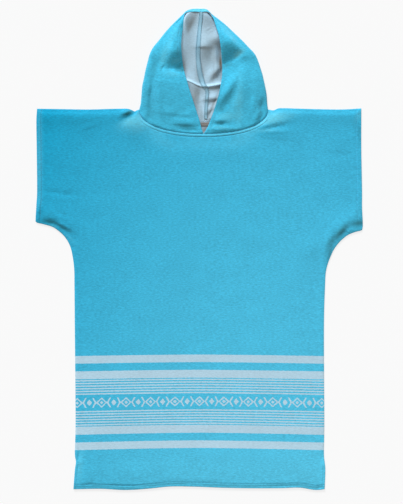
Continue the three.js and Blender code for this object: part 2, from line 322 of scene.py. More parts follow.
CLOSER_AT_OPENING = dict(share=0.12, power=3)
FAR = 1000.0  # for points that aren't on a side flap
THIN_SHARE = 0.04
# How far from the fold a flap's dents and crinkles are whole, and how much of a row from the neck. Where it
# would lie below low, only a share of that counts
FLAP = dict(dents=22, crinkles=16, neck=0.5, low=2.9, share=0.2)
CRINKLES = ((0.45, 34, 11), (0.16, 13, 12))  # height, size of the waves and seed
# Where the relief of the hood's back starts: from the fold, closer to it above top, and from the neck
NAPE = dict(fold=4, whole=20, less=11, top=600, neck=344, reach=12)
# Fine steps in which lines are measured
SAMPLES = dict(sides=800, rings=1200, outline=160, seam=900, neck=400)

# The roll of the hood's cloth beside the neck seam: how steeply it starts, how far it reaches and its height
NECK_ROLL = dict(start=3, reach=15, height=2.2)
# Folds of the side flaps
FLAP_FOLDS = table("""x y turn length width far height
-66 529 54 46 16 22 8.5
-58 488 0 36 20 9 -8
-44 562 90 50 10 10 -8
-97 489 60 8 4 4 -2
-100 477 92 13 3 3 -0.8
-46 617 42 20 4 9 2.6
-60 600 48 40 12 12 2
-38 340 -3 28 18 6 5.4
-30 322 -3 32 4 5 -2
-70 367 -6 24 12 6 2.8
-38 363 -4 14 8 5 2
-6 319 -36 11 3 3 -1.2
-130 410 86 70 8 9 -4.6
-106 402 88 60 8 8 1.6
89 560 -31 44 14 24 10
92 515 36 36 24 9 -8
64 496 48 18 14 8 -4
39 625 -40 15 4 8 2.4
64 598 -42 40 12 12 2
76 428 58 36 15 12 9
54 380 24 26 12 6 -2.4
56 348 3 17 22 6 7
62 325 2 36 12 4 2.6
110 430 76 60 9 12 2.6
148 390 84 50 8 8 2.6
170 384 80 40 7 9 -4.2
160 362 58 22 9 9 4.4
""")
# Painted shade on the side flaps, and painted highlights where the height is below 0
FLAP_PAINTED_LIGHT = table("""x y turn length width far height
-132 381 90 60 9 10 0.35
-80 400 0 46 60 60 0.04
-54 481 0 15 4 4 0.6
-65 550 70 16 7 7 0.6
-97 515 80 24 8 8 -0.3
74 494 26 20 6 6 0.8
39 384 68 42 3 4 1.3
-60 508 10 15 6 6 -0.4
-44 482 60 9 4 4 0.7
-120 487 80 20 10 8 0.5
96 392 60 28 18 18 -0.25
58 377 24 18 7 7 0.9
-40 334 -3 20 5 5 0.4
-56 372 -3 22 8 7 0.3
-50 495 60 16 8 8 0.3
168 384 80 36 9 8 0.4
57 342 3 13 4 4 0.5
60 320 -3 32 2 2 0.5
106 526 36 16 8 6 -1.1
74 358 3 34 12 12 -0.5
58 328 -5 30 5 5 -0.4
108 400 88 70 9 9 -0.3
73 589 -48 44 10 10 -0.2
-78 551 62 50 10 12 -0.3
-70 473 -4 24 9 9 -0.35
8 647 0 50 6 9 -0.9
6 300 0 60 5 5 -0.25
""")
# Folds of the hood's back, which show through its opening
NAPE_FOLDS = table("""x y turn length width far height
5 642 0 60 30 30 6
-46 612 70 40 20 16 9.5
2 588 86 46 7 14 3.6
24 595 30 10 3 3 1.2
31 588 34 9 3 3 1.2
16 552 0 24 36 34 17
8 546 0 20 12 3 2.4
48 569 42 20 20 28 15
42 478 52 24 12 8 9
44 508 92 34 8 6 7
-4 484 102 26 10 10 6
-58 556 90 62 20 22 13
-12 404 106 30 12 9 8
19 404 98 40 6 8 4.4
37 408 8 26 14 5 6
32 379 34 20 9 5 4
40 374 68 44 5 3 6
4 374 84 24 6 6 2
""")
# Painted shade on the hood's back inside it, and painted highlights where the height is below 0
NAPE_PAINTED_LIGHT = table("""x y turn length width far height
-22 608 62 36 11 6 0.8
12 543 0 20 2.5 8 0.4
44 556 48 20 7 15 0.25
20 522 78 30 11 9 0.1
46 474 54 14 7 7 0.3
2 482 100 30 9 9 0.9
-43 490 97 17 5 7 1
57 503 92 26 5 6 1.6
-12 410 80 34 16 8 0.9
40 436 4 18 5 6 0.2
38 401 10 13 3 8 0.4
36 385 68 42 4 4 0.8
40 512 88 32 7 7 0.3
22 386 80 22 8 6 -0.25
-2 418 85 18 4 4 0.4
37 466 80 14 6 6 0.3
-22 560 88 60 12 12 0.2
28 592 95 30 18 18 0.4
-28 474 -20 20 10 7 -0.2
54 478 70 12 5 5 -0.5
-34 636 0 9 9 9 -0.5
20 635 0 14 9 9 -0.45
11 384 94 32 5 3 -0.35
36 415 8 13 7 7 -0.35
-43 605 102 26 5 6 -1.3
-46 550 90 42 5 6 -1.3
47 540 90 14 5 5 -0.8
""")
# A painted highlight along the slack fold's lip: its height below 0, how far it reaches and how far below the
# lip it goes
LIP_PAINTED_HIGHLIGHT = dict(height=-1, reach=3.5, below=1)

# The slack fold across the back of the hood, which hangs towards the neck: its height and drop below the lip
SLACK_LINE = table("""x y height drop
-90 472 0 0
-62 465 5 1
-35 457 8 1.6
-20 451 8.5 2
-3 443 9 2.6
14 439 9 3.5
34 441 9.5 5.5
56 445 9 6
84 450 3 2.5
110 454 0 0
""")
SLACK = dict(reach=24, lip=5.5, lip_share=0.7, lip_reach=5.5, turn=1.6, back=20)
LIP_ROWS = (5.2, 8.2)  # where the hood's rings lie closer for it

# The overlocked seam allowance inside the hood
ALLOWANCE = dict(thickness=1.0, start=1, columns=13, step=2)
# The overlocked edges of the back neck seam, where the opening ends in a point. The strip and its thread are
# real, but their dark warm grey is painted shade
NECK_ALLOWANCE = dict(start=-14, end=44, middle=6.2, half=5.4, thickness=0.9, every=6)
CROWN = dict(fall=0.985, power=3, least=0.1)  # how both strips fall towards their edges


# Lines and surfaces
CHUNK = 4000  # places measured at once


def soft_step(low, high, x):
    """0 below low, 1 above high and smooth between them."""
    t = np.clip((x - low) / (high - low), 0, 1)
    return t * t * (3 - 2 * t)


def bell(distance, reach):
    """1 at no distance, fading on both sides."""
    return np.exp(-((distance / reach) ** 2))


def run_along(line):
    """How far along a line each of its points is."""
    return np.concatenate([[0], np.cumsum(np.linalg.norm(np.diff(line, axis=0), axis=1))])


def read_line(line, run, at):
    """The places of a line at the given distances along it."""
    return np.stack([np.interp(at, run, column) for column in line.T], -1)


def unit(vectors):
    return vectors / np.maximum(np.linalg.norm(vectors, axis=-1, keepdims=True), 1e-9)


def smooth(values, at):
    """A column of a table read at places between its rows, as a smooth curve."""
    row = np.clip(np.floor(at).astype(int), 0, len(values) - 2)
    t = at - row
    ends = np.concatenate([[2 * values[0] - values[1]], values, [2 * values[-1] - values[-2]]])
    before, p, q, after = (ends[row + i] for i in range(4))
    square = 2 * before - 5 * p + 4 * q - after
    cube = 3 * p - before - 3 * q + after
    return p + 0.5 * (t * (q - before) + t**2 * square + t**3 * cube)


def curve(points, x):
    """A smooth line through a table of x and y, read at x."""
    xs, ys = points["x"], points["y"]
    slopes = np.gradient(ys, xs)
    i = np.clip(np.searchsorted(xs, x) - 1, 0, len(xs) - 2)
    step = xs[i + 1] - xs[i]
    t = np.clip((x - xs[i]) / step, 0, 1)
    bend = step * (t * (1 - t) ** 2 * slopes[i] - t**2 * (1 - t) * slopes[i + 1])
    return ys[i] + (ys[i + 1] - ys[i]) * t * t * (3 - 2 * t) + bend


def fold_height(folds, x, y):
    """The height that a table of folds gives to each place."""
    total = np.zeros(np.shape(x))
    columns = [folds[key] for key in ("x", "y", "turn", "length", "width", "height")]
    for *fold, far in zip(*columns, folds.get("far", folds["width"])):
        middle_x, middle_y, turn, length, width, height = fold
        turn = math.radians(turn)
        along = (x - middle_x) * math.cos(turn) + (y - middle_y) * math.sin(turn)
        across = (y - middle_y) * math.cos(turn) - (x - middle_x) * math.sin(turn)
        reach = np.where(across > 0, width, far)
        total += height * np.exp(-((along / length) ** 2) - (across / reach) ** 2)
    return total


def waves(x, y, size, seed):
    """Gentle unevenness, mostly between -1 and 1, with waves of about the given size."""
    random = np.random.default_rng(seed)
    total = np.zeros(np.shape(x))
    count = 9
    for _ in range(count):
        angle = random.uniform(0, math.pi)
        length = size * random.uniform(0.6, 1.6)
        phase = random.uniform(0, 2 * math.pi)
        total += np.sin((x * math.cos(angle) + y * math.sin(angle)) * 2 * math.pi / length + phase)
    return total / math.sqrt(count)


def distance_to(line, x, y):
    """How far each place is from a line of points."""
    places = np.stack([np.ravel(x), np.ravel(y)], 1)
    start, way = line[:-1], np.diff(line, axis=0)
    found = []
    for part in np.array_split(places, max(1, len(places) // CHUNK)):
        offset = part[:, None] - start
        share = np.clip((offset * way).sum(2) / np.maximum((way**2).sum(1), 1e-9), 0, 1)
        found.append(np.sqrt(((offset - share[..., None] * way) ** 2).sum(2).min(1)))
    return np.concatenate(found).reshape(np.shape(x))


def even_steps(length, step, dense_start=True, dense_end=True):
    """Distances along a length, closer together at the chosen ends."""
    edge = np.array(EDGE_STEPS)
    start = edge if dense_start else edge[:1]
    end = length - (edge[::-1] if dense_end else edge[:1])
    count = max(1, round((end[0] - start[-1]) / step))
    middle = np.linspace(start[-1], end[0], count + 1)[1:-1]
    return np.concatenate([start, middle, end])


def hem_relief(distance, width, rise, sink):
    """The swell of a hem folded over and the groove of its stitch line."""
    swell = rise * (1 - soft_step(width - GROOVE["before"], width + GROOVE["after"], distance))
    return swell - sink * bell(distance - width, GROOVE["half"])


def rounded(distance, reach, least=0):
    """The least share at an edge and 1 from reach inwards, as a quarter of a circle."""
    return least + (1 - least) * np.sqrt(1 - (1 - np.clip(distance / reach, 0, 1)) ** 2)


# Meshes
def mesh_object(name, points, faces, materials, material_of_face=None):
    """A smooth mesh object from points in millimetres."""
    mesh = bpy.data.meshes.new(name)
    mesh.from_pydata(np.asarray(points) * MM, [], faces)
    for material in materials:
        mesh.materials.append(material)
    if material_of_face is not None:
        mesh.polygons.foreach_set("material_index", material_of_face)
    mesh.shade_smooth()
    made = bpy.data.objects.new(name, mesh)
    bpy.context.collection.objects.link(made)
    return made


def grid_quads(numbers):
    """The four corners of each cell of a grid of point numbers."""
    corners = numbers[:-1, :-1], numbers[:-1, 1:], numbers[1:, 1:], numbers[1:, :-1]
    return np.stack(corners, -1).reshape(-1, 4)


def shell(name, outer, inner, materials, nap_and_painted_light=None):
    """A closed wall between two sheets of points. The outer sheet and the rim take the first material, the
    inner one the second. The last argument gives each point of a sheet an amount of painted light, painted
    shade above 0 and painted highlight below it, for the materials to read."""
    rows, columns = outer.shape[:2]
    first = np.arange(rows * columns).reshape(rows, columns)
    second = first + rows * columns
    around = np.concatenate([first[0, :-1], first[:-1, -1], first[-1, :0:-1], first[:0:-1, 0]])
    after = np.roll(around, -1)
    rim = np.stack([around, around + rows * columns, after + rows * columns, after], 1)
    faces = np.concatenate([grid_quads(first), grid_quads(second)[:, ::-1], rim])
    points = np.concatenate([outer.reshape(-1, 3), inner.reshape(-1, 3)])
    a, b, c, d = (points[faces[:, i]] for i in range(4))
    volume = (np.cross(b - a, c - a) * a).sum() + (np.cross(c - a, d - a) * a).sum()
    if volume < 0:
        faces = faces[:, ::-1]
    cells = (rows - 1) * (columns - 1)
    side = np.zeros(len(faces), int)
    side[cells:2 * cells] = 1
    made = mesh_object(name, points, faces.tolist(), materials, side)
    if nap_and_painted_light is not None:
        attribute = made.data.attributes.new("nap_and_painted_light", "FLOAT", "POINT")
        attribute.data.foreach_set("value", np.tile(np.ravel(nap_and_painted_light), 2).astype(np.float32))
    return made


# Panels
def neck_line(neck, count=NECK_POINTS):
    """Points of a neckline, from the left shoulder to the right one."""
    depth, power = neck
    c = np.cos(np.linspace(0, math.pi, count))
    x = NECK_X - NECK_HALF * np.sign(c) * np.abs(c) ** (2 / FRONT_NECK[1])
    share = np.clip(np.abs(x - NECK_X) / NECK_HALF, 0, 1)
    return np.stack([x, NECK_TOP - depth * (1 - share**power) ** (1 / power)], 1)


def side_places():
    """The rows of a panel, as places in the table of its sides, evenly spaced along the left one."""
    fine = np.linspace(0, len(SIDES["left_y"]) - 1, SAMPLES["sides"])
    run = run_along(np.stack([smooth(SIDES["left_x"], fine), smooth(SIDES["left_y"], fine)], 1))
    return np.interp(even_steps(run[-1], GRID), run, fine)


def panel_plan(neck):
    """The places of a panel's points, row by row from the hem, and the lines of its edges."""
    line = neck_line(neck)
    left = SHOULDERS["x"][0] + even_steps(line[0, 0] - SHOULDERS["x"][0], GRID)
    right = line[-1, 0] + even_steps(SHOULDERS["x"][-1] - line[-1, 0], GRID)
    top_x = np.concatenate([left[:-1], line[:, 0], right[1:]])
    top_y = np.concatenate([curve(SHOULDERS, left[:-1]), line[:, 1], curve(SHOULDERS, right[1:])])
    rows = side_places()
    left_y, left_x, right_x, right_y = (smooth(column, rows)[:, None] for column in SIDES.values())
    share = (top_x - top_x[0]) / (top_x[-1] - top_x[0])
    x = left_x + (right_x - left_x) * share
    flat_top = SHOULDER_Y + (SIDES["right_y"][-1] - SHOULDER_Y) * share
    top_share = np.clip((left_y - SHOULDER_Y + NECK_PULL) / NECK_PULL, 0, 1)
    hem_share = np.clip((HEM_Y + HEM_PULL - left_y) / HEM_PULL, 0, 1)
    y = left_y + (right_y - left_y) * share
    y = y + top_share * (top_y - flat_top) + hem_share * (curve(HEM_LINE, x) - HEM_Y)

    edges = np.stack([x, y], 2)
    heights = left_y[:, 0]
    cuffs, slits = heights >= CUFFS_FROM, heights <= SLITS_TO
    seams = ~cuffs & ~slits
    neck_from, neck_to = len(left) - 1, len(left) - 2 + len(line)
    lines = {
        "hem": [edges[0]],
        "slit": [edges[slits, 0], edges[slits, -1]],
        "seam": [edges[seams, 0], edges[seams, -1]],
        "shoulder": [edges[-1, :neck_from + 1], edges[-1, neck_to:]],
        "cuff": [edges[cuffs, 0], edges[cuffs, -1]],
        "neck": [edges[-1, neck_from:neck_to + 1]],
    }
    return x, y, lines


def edge_distances(lines, x, y):
    """How far each place is from each kind of edge, and from the nearest free one."""
    away = {}
    for name, group in lines.items():
        away[name] = np.minimum.reduce([distance_to(line, x, y) for line in group])
    away["free"] = np.minimum.reduce([away[name] for name in HEMS])
    return away


def front_heights(x, y, away):
    """The underside and the top of the front panel at each place."""
    edge = np.minimum.reduce(list(away.values()))
    reach = edge / PUFF["reach"]
    lift = PUFF["height"] * soft_step(0, 1, reach)
    beside = away["shoulder"] - SHOULDER_ROLL["at"]
    width = np.where(beside > 0, SHOULDER_ROLL["away"], SHOULDER_ROLL["towards"])
    lift += SHOULDER_ROLL["height"] * bell(beside, width) * soft_step(0, PUFF["rolls"], reach)
    lift += soft_step(0, PUFF["folds"], reach) * fold_height(FRONT_FOLDS, x, y)
    uneven = waves(x, y, UNEVEN["size"], UNEVEN["seed"])
    lift += UNEVEN["height"] * soft_step(0, PUFF["waves"], reach) * uneven
    under = CLOTH + GAP + np.maximum(lift, 0)

    hems = [hem_relief(away[key], **hem) for key, hem in HEMS.items()]
    band = hem_relief(away["neck"], **NECK_BAND)
    grooves = np.minimum.reduce(hems + [band])
    relief = np.where(grooves < 0, grooves, np.maximum.reduce(hems) + np.maximum(band, 0))
    relief = relief + fold_height(HEM_FOLDS, x, y) * soft_step(0, PUCKER_REACH, edge)
    edge_turn_and_painted_shade = np.minimum.reduce([
        rounded(away["free"], FREE_ROLL),
        rounded(np.minimum(away["seam"], away["shoulder"]), **SEAM_EDGE),
        rounded(away["neck"], **NECK_EDGE),
    ])
    return under, under + np.maximum((CLOTH + relief) * edge_turn_and_painted_shade, THINNEST)


def front_panel(materials):
    x, y, lines = panel_plan(FRONT_NECK)
    away = edge_distances(lines, x, y)
    under, top = front_heights(x, y, away)
    outer, inner = np.dstack([x, y, top]), np.dstack([x, y, under])
    # Painted light for each point: the table's painted shade and highlights, a painted highlight along the
    # neck and painted shade above the hem
    collar = COLLAR_PAINTED_HIGHLIGHT["height"] * bell(away["neck"], COLLAR_PAINTED_HIGHLIGHT["reach"])
    hem = HEM_PAINTED_SHADE["height"] * bell(away["hem"] - HEM_PAINTED_SHADE["at"], HEM_PAINTED_SHADE["reach"])
    made = shell("front_cloth", outer, inner, materials, fold_height(FRONT_PAINTED_LIGHT, x, y) + collar + hem)
    return made, lines


def back_panel(materials):
    x, y, lines = panel_plan(BACK_NECK)
    away = edge_distances(lines, x, y)
    edge = np.minimum.reduce([away["free"], away["seam"], away["shoulder"]])
    roll = FREE_ROLL + (BACK["roll"] - FREE_ROLL) * soft_step(0, BACK["sewn_from"], away["free"])
    grooves = [hem_relief(away[key], hem["width"], 0, BACK["groove"]) for key, hem in HEMS.items()]
    under = (CLOTH - BACK["edge"]) * (1 - rounded(edge, roll)) - np.minimum.reduce(grooves)
    under = under + fold_height(BACK_FOLDS, x, y) * soft_step(BACK["troughs"], BACK["troughs_whole"], edge)
    top = np.full(x.shape, CLOTH)
    outer = np.dstack([x, y, np.minimum(under, top - BACK["thinnest"])])
    # The back panel's points carry painted shade at the foot of the opening
    return shell("back_cloth", outer, np.dstack([x, y, top]), materials, fold_height(BACK_PAINTED_SHADE, x, y))


# Hood
def bow_of(line, share):
    """How far the points at shares of a line's length are from the same shares of its chord."""
    run = run_along(line)
    return read_line(line, run, share * run[-1]) - (line[0] + (line[-1] - line[0]) * share[..., None])


def hood_line(key, places):
    """Points of one of the lines of the hood's plan."""
    return np.stack([smooth(HOOD_PLAN[key + "_x"], places), smooth(HOOD_PLAN[key + "_y"], places)], 1)


def slack_height(x, y):
    """The slack fold: a slow rise towards the neck, a crisp lip and a drop."""
    above = y - curve(SLACK_LINE, x)
    height, drop = (np.interp(x, SLACK_LINE["x"], SLACK_LINE[key]) for key in ("height", "drop"))
    lip = np.minimum(SLACK["lip"], SLACK["lip_share"] * height)
    rise = (height - lip) * bell(above, SLACK["reach"]) + lip * bell(above, SLACK["lip_reach"])
    rest = (height - drop) * bell(above, SLACK["back"])
    fall = rest + (height - rest) * rounded(above + SLACK["turn"], SLACK["turn"])
    return np.where(above >= 0, rise, np.where(above > -SLACK["turn"], fall, rest))


def nape_height(x, y):
    """The middle of the cloth of the hood's back."""
    fine = np.linspace(0, LAST_ROW, SAMPLES["outline"])
    outline = np.concatenate([hood_line("left_fold", fine), hood_line("right_fold", fine)[::-1]])
    whole = NAPE["whole"] - NAPE["less"] * soft_step(NAPE["top"], RIM_Y, y)
    near_fold = soft_step(NAPE["fold"], whole, distance_to(outline, x, y))
    inside = slack_height(x, y) + np.maximum(fold_height(NAPE_FOLDS, x, y), 0)
    return CLOTH / 2 + inside * near_fold * soft_step(0, NAPE["reach"], y - NAPE["neck"])


def ring_places():
    """The hood's rings, as places in its table, evenly spaced between the seam's and the fold's lengths."""
    fine = np.linspace(0, LAST_ROW, SAMPLES["rings"])
    run = sum(run_along(hood_line(key, fine)) for key in ("seam", "left_fold")) / 2
    places = np.interp(even_steps(run[-1], run[-1] / HOOD_RINGS, True, False), run, fine)
    lip = (places[:-1] > LIP_ROWS[0]) & (places[1:] < LIP_ROWS[1])
    return np.sort(np.concatenate([places, ((places[:-1] + places[1:]) / 2)[lip]]))


def half_neck(neck, away):
    """Half a neckline, from the shoulder to its middle: the left one where away is -1, else the right one."""
    line = neck_line(neck, 2 * NECK_POINTS)[::-away]
    line = line[away * (line[:, 0] - NECK_X) >= 0]
    return np.concatenate([line, [[NECK_X, NECK_TOP - neck[0]]]])


def between(start, end, share, neck, bow):
    """Places at shares of the way between two lines, ring by ring, bowed like a half neckline."""
    straight = start[:, None] + (end - start)[:, None] * share[..., None]
    return straight + bow_of(neck, share) * bow[..., None]


def hood_centre(side, places):
    """The middle of the cloth of one half, ring by ring, from the centre seam round the fold to the opening,
    with how far each point is from the opening's edge."""
    away = -1 if side == "left" else 1
    radius, crest, lift, bow, _ = (smooth(column, places)[:, None] for column in HOOD_FORM.values())
    bow = np.clip(bow, 0, 1)
    radius = np.maximum(radius, LEAST_RADIUS)
    away_middle = np.concatenate([0 * bow + away * SEAM_GAP, GAP * bow], 1)
    seam = hood_line("seam", places) + away_middle
    edge = hood_line(side + "_end", places) + away_middle
    fold = hood_line(side + "_fold", places) + np.concatenate([away * (SEAM_GAP - GAP * bow), GAP * bow], 1)
    inward = unit((seam + edge) / 2 - fold)
    start = CLOTH / 2 + radius

    lower_start = np.minimum(start / np.hypot(*(seam - fold).T)[:, None], FOLD_SHARE["lower"])
    share = lower_start + (1 - lower_start) * np.linspace(1, 0, LOWER_POINTS)[None] ** CLOSER
    plan = between(fold, seam, share, half_neck(BACK_NECK, away), bow)
    lower = np.dstack([plan, nape_height(plan[..., 0], plan[..., 1])])

    angle = np.radians(np.linspace(-FOLD_TURN, FOLD_TURN, FOLD_POINTS))[None]
    reach = CLOTH / 2 + radius * (1 - np.cos(angle))
    turn = fold[:, None] + inward[:, None] * reach[..., None]
    round_fold = np.dstack([turn, start + radius * np.sin(angle)])

    upper_length = np.hypot(*(edge - fold).T)[:, None]
    upper_start = np.minimum(start / upper_length, FOLD_SHARE["upper"])
    run = np.linspace(0, 1, UPPER_POINTS)[None]
    nearer = CLOSER_AT_OPENING["share"] * np.sin(math.pi * run) * run ** CLOSER_AT_OPENING["power"]
    part = run**CLOSER + nearer
    part = np.clip(part / part[:, -1:], 0, 1)
    share = upper_start + (1 - upper_start) * part
    plan = between(fold, edge, share, half_neck(FRONT_NECK, away), bow)
    x, y = plan[..., 0], plan[..., 1]
    from_fold = (share - upper_start) * upper_length
    from_neck = np.hypot(x - x[:1], y - y[:1])
    roll = (1 - bell(from_neck, NECK_ROLL["start"])) * bell(from_neck, NECK_ROLL["reach"])
    rise = 2 * radius + (lift - 2 * radius) * soft_step(0, 1, part) + crest * np.sin(math.pi * part)
    rise = rise + NECK_ROLL["height"] * roll * soft_step(0, FLAP["dents"], from_fold)
    crinkle = sum(height * waves(x, y, size, seed) for height, size, seed in CRINKLES)
    dents = fold_height(FLAP_FOLDS, x, y) * soft_step(0, FLAP["dents"], from_fold)
    dents = dents + crinkle * soft_step(0, FLAP["crinkles"], from_fold)
    height = rise + dents * soft_step(0, FLAP["neck"], places)[:, None]
    height = np.maximum(height, FLAP["low"] + FLAP["share"] * (height - FLAP["low"]))
    upper = np.dstack([x, y, CLOTH / 2 + height])

    centre = np.concatenate([lower, round_fold, upper], 1)
    far = np.full(centre.shape[:2], FAR)
    far[:, -UPPER_POINTS:] = (1 - share) * upper_length
    return centre, far


def hood_half(side, places, materials):
    """One half of the hood, and for its stitches the outer face, normals and distances from the opening."""
    centre, far = hood_centre(side, places)
    sign = 1 if side == "left" else -1
    normal = unit(np.cross(np.gradient(centre, axis=1), np.gradient(centre, axis=0)) * sign)
    from_neck = np.linalg.norm(centre - centre[:1], axis=2)
    taper = rounded(far, FREE_ROLL) * rounded(from_neck, **HOOD_NECK_EDGE)
    thick = CLOTH * np.maximum(taper, THIN_SHARE)
    relief = np.where(far < FAR, hem_relief(far, **OPENING_HEM) * taper, 0)
    outer = centre + normal * (thick / 2 + np.minimum(relief, 0))[..., None]
    inner = centre - normal * (thick / 2 + np.maximum(relief, 0))[..., None]
    # Painted light for each point: painted shade above 0 and painted highlights below it, from the flaps'
    # table, and on the hood's back from its own table and a highlight along the slack fold's lip
    nap_and_painted_light = fold_height(FLAP_PAINTED_LIGHT, centre[..., 0], centre[..., 1])
    x, y = centre[:, :LOWER_POINTS, 0], centre[:, :LOWER_POINTS, 1]
    from_lip = y - curve(SLACK_LINE, x)
    lip = LIP_PAINTED_HIGHLIGHT["height"] * bell(from_lip, LIP_PAINTED_HIGHLIGHT["reach"]) * (from_lip > -LIP_PAINTED_HIGHLIGHT["below"])
    nap_and_painted_light[:, :LOWER_POINTS] = fold_height(NAPE_PAINTED_LIGHT, x, y) + lip
    made = shell("hood_cloth_" + side, outer, inner, materials, nap_and_painted_light)
    return made, {"outer": outer, "normal": normal, "far": far}


def seam_strip(name, line, half, thickness, height_of, material):
    """A flat overlocked strip along a line in plan, on a surface of the given height, and its top."""
    way = unit(np.gradient(line, axis=0))
    side = np.stack([way[:, 1], -way[:, 0]], 1)
    spread = np.linspace(-1, 1, ALLOWANCE["columns"])
    plan = line[:, None] + side[:, None] * (spread[None] * np.reshape(half, (-1, 1)))[..., None]
    level = height_of(plan[..., 0], plan[..., 1]) + GAP
    fall = CROWN["fall"] * np.abs(spread) ** CROWN["power"]
    crown = thickness * np.maximum(np.sqrt(1 - fall), CROWN["least"])
    top = np.dstack([plan, level + crown])
    return shell(name, top, np.dstack([plan, level]), [material, material]), top


def hood_allowance(material):
    """The strip over the hood's centre seam, up to the inside of its rim."""
    fine = np.linspace(ALLOWANCE["start"], LAST_ROW, SAMPLES["seam"])
    line = hood_line("seam", fine)
    line = np.concatenate([line, [[line[-1, 0], RIM_Y]]])
    run = run_along(line)
    at = np.arange(0, run[-1], ALLOWANCE["step"])
    half = np.interp(np.interp(at, run[:-1], fine), np.arange(LAST_ROW + 1), HOOD_FORM["strip"])
    return seam_strip("seam_allowance", read_line(line, run, at), half, ALLOWANCE["thickness"],
                      lambda x, y: nape_height(x, y) + CLOTH / 2, material)


def neck_allowance(material):
    """The strip below the back neck seam, which is given a dark warm grey of painted shade."""
    line = neck_line(BACK_NECK, SAMPLES["neck"])
    line = line[(line[:, 0] > NECK_ALLOWANCE["start"]) & (line[:, 0] < NECK_ALLOWANCE["end"])]
    line = line[::NECK_ALLOWANCE["every"]] - (0, NECK_ALLOWANCE["middle"])
    return seam_strip("neck_allowance", line, np.full(len(line), NECK_ALLOWANCE["half"]),
                      NECK_ALLOWANCE["thickness"], lambda x, y: np.full(x.shape, CLOTH), material)


# Thread
STITCH = dict(pitch=3.4, length=2.5, radius=0.34, sides=5)
# The rings of a stitch: where they are along it, how thick they are and how high, in shares
STITCH_RINGS = table("""along thick up
-0.5 0.35 -0.5
-0.3 1 0.25
0.3 1 0.25
0.5 0.35 -0.5
""")
SEWING = dict(above=0.1, neck_ends=6, hood_from=8)  # its height over the cloth, and the points it leaves out
# A loop of the overlock thread: its share of the way from the edge inwards, and moves outwards, up and along
LOOP_PATH = table("""share out up along
0 0.3 -0.9 0
0 0.5 0.3 0
0.5 0 0.75 0.5
1 0 0.25 0.9
1 0 -0.3 1
""")
LOOPS = dict(pitch=3.0, radius=0.4, sides=5, columns=3)
UP = np.array((0, 0, 1))


def resample(line, pitch):
    """Points along a line at an even pitch, with the way it runs there."""
    run = run_along(line)
    at = np.arange(pitch / 2, run[-1], pitch)
    way = read_line(line, run, at + pitch / 4) - read_line(line, run, at - pitch / 4)
    return read_line(line, run, at), unit(way)


def tubes(rows, sides):
    """Points and faces of closed tubes. Each has centres, radii and two directions square to its run."""
    turn = np.linspace(0, 2 * math.pi, sides, endpoint=False)[:, None]
    points, faces = [], []
    for centres, radii, side, up in rows:
        first = len(points) * sides * len(centres)
        ring = np.cos(turn) * side[..., None, :] + np.sin(turn) * up[..., None, :]
        points.append(centres[:, None] + ring * np.reshape(radii, (-1, 1, 1)))
        numbers = first + np.arange(len(centres) * sides).reshape(len(centres), -1)
        faces += grid_quads(np.concatenate([numbers, numbers[:, :1]], 1)).tolist()
        faces += [numbers[0][::-1].tolist(), numbers[-1].tolist()]
    return np.concatenate(points).reshape(-1, 3), faces


def stitch_rows(lines):
    """Each stitch along some lines, as a short rounded bar."""
    along, thick, up_share = (column[:, None] for column in STITCH_RINGS.values())
    for line in lines:
        for centre, way in zip(*resample(line, STITCH["pitch"])):
            side = unit(np.cross(way, UP))
            up = np.cross(side, way)
            centres = centre + way * along * STITCH["length"] + up * up_share * STITCH["radius"]
            yield centres, thick * STITCH["radius"], side, up


def sewn(name, lines, material):
    """A row of stitches along each line."""
    return mesh_object(name, *tubes(stitch_rows(lines), STITCH["sides"]), [material])


def inward_line(line, distance):
    """A line moved towards the middle of the body by a distance, square to its run."""
    way = unit(np.gradient(line, axis=0))
    normal = np.stack([-way[:, 1], way[:, 0]], 1)
    towards = np.sign((normal * -line).sum(1))[:, None]
    return line + normal * towards * distance


def front_thread(lines, material):
    """Stitch lines of the cuffs, slits, lower hem and the band round the neck."""
    ends = SEWING["neck_ends"]
    plans = [inward_line(line, hem["width"]) for key, hem in HEMS.items() for line in lines[key]]
    plans += [inward_line(lines["neck"][0][ends:-ends], NECK_BAND["width"])]
    paths = []
    for plan in plans:
        x, y = plan.T
        top = front_heights(x, y, edge_distances(lines, x, y))[1]
        paths.append(np.column_stack([plan, top + SEWING["above"]]))
    return sewn("front_thread", paths, material)


def hood_thread(halves, material):
    """Stitch lines along the hem of the hood's opening."""
    paths = []
    for half in halves:
        column = np.abs(half["far"] - OPENING_HEM["width"]).argmin(1)
        rows = np.arange(len(column))
        line = half["outer"][rows, column] + half["normal"][rows, column] * SEWING["above"]
        paths.append(line[SEWING["hood_from"]:])
    return sewn("hood_thread", paths, material)


def overlock_rows(top):
    """The loops of thread over both edges of a strip with this top."""
    share, out, up_by, along = (column[:, None] for column in LOOP_PATH.values())
    for columns in ((0, LOOPS["columns"]), (-1, -1 - LOOPS["columns"])):
        (edge, _), (inner, ways) = (resample(top[:, column], LOOPS["pitch"]) for column in columns)
        for low, high, way in zip(edge, inner, ways):
            outward = unit((low - high) * (1, 1, 0))
            path = low + (high - low) * share + outward * out + UP * up_by + way * along
            runs = unit(np.gradient(path, axis=0))
            side = unit(way - (runs * way).sum(1, keepdims=True) * runs)
            yield path, LOOPS["radius"], side, np.cross(runs, side)


def overlock_thread(name, top, material):
    return mesh_object(name, *tubes(overlock_rows(top), LOOPS["sides"]), [material])


